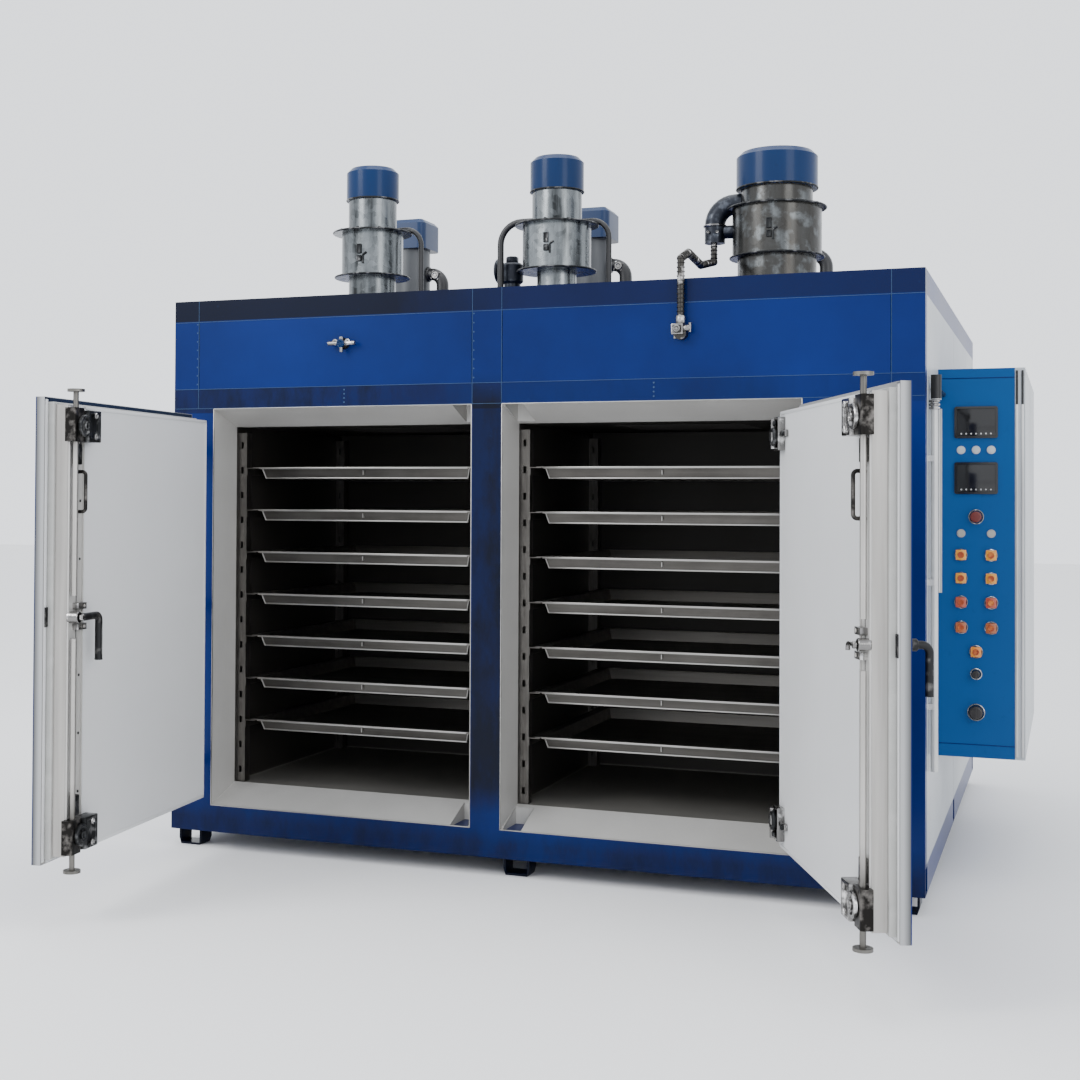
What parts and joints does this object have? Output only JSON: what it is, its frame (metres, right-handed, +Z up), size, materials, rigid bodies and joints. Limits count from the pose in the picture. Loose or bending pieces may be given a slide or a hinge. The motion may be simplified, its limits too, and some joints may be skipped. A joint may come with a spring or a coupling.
{
  "type": "tray dryer oven",
  "caption": "Walk-up tray dryer oven with side-by-side chambers behind insulated doors, pull-out trays, roof fan units and a side control cabinet.",
  "frame": {"origin": "on the floor under the centre of the cabinet, at the sole of its middle foot", "axes": "+X to the right as seen from the front, +Y into the cabinet, +Z up"},
  "size_m": [3.2, 3.8418, 2.783],
  "materials": {
    "cabinet_blue": "gloss",
    "panel_grey": "satin",
    "liner_steel": "brushed",
    "rack_steel": "brushed",
    "tray_steel": "brushed",
    "hinge_steel": "satin",
    "door_white": "satin",
    "seal_rubber": "matte",
    "rod_steel": "satin",
    "lever_black": "satin",
    "galvanised": "satin",
    "cowl_blue": "gloss",
    "blower_grey": "satin",
    "hose_rubber": "satin",
    "valve_black": "satin",
    "rotor_steel": "satin",
    "control_blue": "satin",
    "display_black": "gloss",
    "lamp_amber": "gloss",
    "button_orange": "gloss",
    "emergency_red": "gloss",
    "knob_black": "matte",
    "pipe_steel": "satin",
    "fitting_steel": "satin"
  },
  "bodies": {
    "cabinet": {"base_frame": "cabinet_blue", "front_frame": "cabinet_blue", "upper_panels": "cabinet_blue", "roof_pan": "cabinet_blue", "side_panel_left": "panel_grey", "side_panel_right": "panel_grey", "back_panel": "panel_grey", "throat_trims": "liner_steel", "chamber_liners": "liner_steel", "tray_racks": "rack_steel", "hinge_pins": "hinge_steel", "fan_units": "galvanised", "motor_cowls": "cowl_blue", "rear_blowers": "blower_grey", "roof_hoses": "hose_rubber", "roof_fittings": "valve_black", "control_box": "control_blue", "displays": "display_black", "indicator_lamps": "lamp_amber", "cable_pipe": "pipe_steel", "front_fittings": "fitting_steel"},
    "left_door": {"left_door_skin": "cabinet_blue", "left_door_panel": "door_white", "left_door_seal": "seal_rubber"},
    "left_release": {"left_lever": "lever_black"},
    "left_upper_lock": {"left_upper_rod": "rod_steel"},
    "left_lower_lock": {"left_lower_rod": "rod_steel"},
    "right_door": {"right_door_skin": "cabinet_blue", "right_door_panel": "door_white", "right_door_seal": "seal_rubber"},
    "right_release": {"right_lever": "lever_black"},
    "right_upper_lock": {"right_upper_rod": "rod_steel"},
    "right_lower_lock": {"right_lower_rod": "rod_steel"},
    "left_drawer_1": {"left_tray_1": "tray_steel"},
    "left_drawer_2": {"left_tray_2": "tray_steel"},
    "left_drawer_3": {"left_tray_3": "tray_steel"},
    "left_drawer_4": {"left_tray_4": "tray_steel"},
    "left_drawer_5": {"left_tray_5": "tray_steel"},
    "left_drawer_6": {"left_tray_6": "tray_steel"},
    "left_drawer_7": {"left_tray_7": "tray_steel"},
    "right_drawer_1": {"right_tray_1": "tray_steel"},
    "right_drawer_2": {"right_tray_2": "tray_steel"},
    "right_drawer_3": {"right_tray_3": "tray_steel"},
    "right_drawer_4": {"right_tray_4": "tray_steel"},
    "right_drawer_5": {"right_tray_5": "tray_steel"},
    "right_drawer_6": {"right_tray_6": "tray_steel"},
    "right_drawer_7": {"right_tray_7": "tray_steel"},
    "left_rotor": {"left_fan_rotor": "rotor_steel"},
    "middle_rotor": {"middle_fan_rotor": "rotor_steel"},
    "right_rotor": {"right_fan_rotor": "rotor_steel"},
    "side_door": {"control_door": "panel_grey"},
    "plunger_1": {"push_button_1": "button_orange"},
    "plunger_2": {"push_button_2": "button_orange"},
    "plunger_3": {"push_button_3": "button_orange"},
    "plunger_4": {"push_button_4": "button_orange"},
    "plunger_5": {"push_button_5": "button_orange"},
    "emergency_head": {"emergency_button": "emergency_red"},
    "selector_knob_grip": {"selector_knob": "knob_black"},
    "main_switch_grip": {"main_switch": "knob_black"},
    "wing": {"wing_handle": "fitting_steel"}
  },
  "joints": [
    {"name": "left_door_swing", "type": "hinge", "parent": "cabinet", "child": "left_door", "pos_m": [-1.362, -1.341, 0.95], "axis": [0, 0, -1], "range_deg": [-84, 36]},
    {"name": "left_lever_turn", "type": "hinge", "parent": "left_door", "child": "left_release", "pos_m": [-1.22693, -2.47308, 0.994], "axis": [0.9945, 0.1045, 0], "range_deg": [0, 90]},
    {"name": "left_upper_rod_slide", "type": "slide", "parent": "left_door", "child": "left_upper_lock", "axis": [0, 0, -1], "range_m": [0, 0.04]},
    {"name": "left_lower_rod_slide", "type": "slide", "parent": "left_door", "child": "left_lower_lock", "axis": [0, 0, 1], "range_m": [0, 0.04]},
    {"name": "right_door_swing", "type": "hinge", "parent": "cabinet", "child": "right_door", "pos_m": [1.074, -1.341, 0.95], "axis": [0, 0, 1], "range_deg": [-113.4, 6.6]},
    {"name": "right_lever_turn", "type": "hinge", "parent": "right_door", "child": "right_release", "pos_m": [1.48824, -2.33853, 0.994], "axis": [0.9178, 0.3971, 0], "range_deg": [0, 90]},
    {"name": "right_upper_rod_slide", "type": "slide", "parent": "right_door", "child": "right_upper_lock", "axis": [0, 0, -1], "range_m": [0, 0.04]},
    {"name": "right_lower_rod_slide", "type": "slide", "parent": "right_door", "child": "right_lower_lock", "axis": [0, 0, 1], "range_m": [0, 0.04]},
    {"name": "left_tray_1_slide", "type": "slide", "parent": "cabinet", "child": "left_drawer_1", "axis": [0, -1, 0], "range_m": [0, 0.5]},
    {"name": "left_tray_2_slide", "type": "slide", "parent": "cabinet", "child": "left_drawer_2", "axis": [0, -1, 0], "range_m": [0, 0.5]},
    {"name": "left_tray_3_slide", "type": "slide", "parent": "cabinet", "child": "left_drawer_3", "axis": [0, -1, 0], "range_m": [0, 0.5]},
    {"name": "left_tray_4_slide", "type": "slide", "parent": "cabinet", "child": "left_drawer_4", "axis": [0, -1, 0], "range_m": [0, 0.5]},
    {"name": "left_tray_5_slide", "type": "slide", "parent": "cabinet", "child": "left_drawer_5", "axis": [0, -1, 0], "range_m": [0, 0.5]},
    {"name": "left_tray_6_slide", "type": "slide", "parent": "cabinet", "child": "left_drawer_6", "axis": [0, -1, 0], "range_m": [0, 0.5]},
    {"name": "left_tray_7_slide", "type": "slide", "parent": "cabinet", "child": "left_drawer_7", "axis": [0, -1, 0], "range_m": [0, 0.5]},
    {"name": "right_tray_1_slide", "type": "slide", "parent": "cabinet", "child": "right_drawer_1", "axis": [0, -1, 0], "range_m": [0, 0.5]},
    {"name": "right_tray_2_slide", "type": "slide", "parent": "cabinet", "child": "right_drawer_2", "axis": [0, -1, 0], "range_m": [0, 0.5]},
    {"name": "right_tray_3_slide", "type": "slide", "parent": "cabinet", "child": "right_drawer_3", "axis": [0, -1, 0], "range_m": [0, 0.5]},
    {"name": "right_tray_4_slide", "type": "slide", "parent": "cabinet", "child": "right_drawer_4", "axis": [0, -1, 0], "range_m": [0, 0.5]},
    {"name": "right_tray_5_slide", "type": "slide", "parent": "cabinet", "child": "right_drawer_5", "axis": [0, -1, 0], "range_m": [0, 0.5]},
    {"name": "right_tray_6_slide", "type": "slide", "parent": "cabinet", "child": "right_drawer_6", "axis": [0, -1, 0], "range_m": [0, 0.5]},
    {"name": "right_tray_7_slide", "type": "slide", "parent": "cabinet", "child": "right_drawer_7", "axis": [0, -1, 0], "range_m": [0, 0.5]},
    {"name": "left_fan_spin", "type": "hinge", "parent": "cabinet", "child": "left_rotor", "pos_m": [-0.875, -0.695, 1.85], "axis": [0, 0, 1], "continuous": true},
    {"name": "middle_fan_spin", "type": "hinge", "parent": "cabinet", "child": "middle_rotor", "pos_m": [-0.05, -0.695, 1.85], "axis": [0, 0, 1], "continuous": true},
    {"name": "right_fan_spin", "type": "hinge", "parent": "cabinet", "child": "right_rotor", "pos_m": [0.843, -0.695, 1.85], "axis": [0, 0, 1], "continuous": true},
    {"name": "control_door_swing", "type": "hinge", "parent": "cabinet", "child": "side_door", "pos_m": [1.742, 0.556, 1.159], "axis": [0, 0, 1], "range_deg": [0, 110]},
    {"name": "push_button_1_press", "type": "slide", "parent": "cabinet", "child": "plunger_1", "axis": [0, 1, 0], "range_m": [0, 0.005], "stiffness_N_per_m": 400},
    {"name": "push_button_2_press", "type": "slide", "parent": "cabinet", "child": "plunger_2", "axis": [0, 1, 0], "range_m": [0, 0.005], "stiffness_N_per_m": 400},
    {"name": "push_button_3_press", "type": "slide", "parent": "cabinet", "child": "plunger_3", "axis": [0, 1, 0], "range_m": [0, 0.005], "stiffness_N_per_m": 400},
    {"name": "push_button_4_press", "type": "slide", "parent": "cabinet", "child": "plunger_4", "axis": [0, 1, 0], "range_m": [0, 0.005], "stiffness_N_per_m": 400},
    {"name": "push_button_5_press", "type": "slide", "parent": "cabinet", "child": "plunger_5", "axis": [0, 1, 0], "range_m": [0, 0.005], "stiffness_N_per_m": 400},
    {"name": "emergency_press", "type": "slide", "parent": "cabinet", "child": "emergency_head", "axis": [0, 1, 0], "range_m": [0, 0.005], "stiffness_N_per_m": 800},
    {"name": "selector_knob_turn", "type": "hinge", "parent": "cabinet", "child": "selector_knob_grip", "pos_m": [1.58235, -0.802, 0.76], "axis": [0, 1, 0], "range_deg": [-45, 45]},
    {"name": "main_switch_turn", "type": "hinge", "parent": "cabinet", "child": "main_switch_grip", "pos_m": [1.58235, -0.802, 0.622], "axis": [0, 1, 0], "range_deg": [0, 90]},
    {"name": "wing_handle_turn", "type": "hinge", "parent": "cabinet", "child": "wing", "pos_m": [-0.698, -1.345, 1.975], "axis": [0, 1, 0], "range_deg": [0, 90]}
  ],
  "couplings": [
    {"joint": "left_upper_rod_slide", "follows": "left_lever_turn", "m_per_rad": 0.02546},
    {"joint": "left_lower_rod_slide", "follows": "left_lever_turn", "m_per_rad": 0.02546},
    {"joint": "right_upper_rod_slide", "follows": "right_lever_turn", "m_per_rad": 0.02546},
    {"joint": "right_lower_rod_slide", "follows": "right_lever_turn", "m_per_rad": 0.02546}
  ]
}
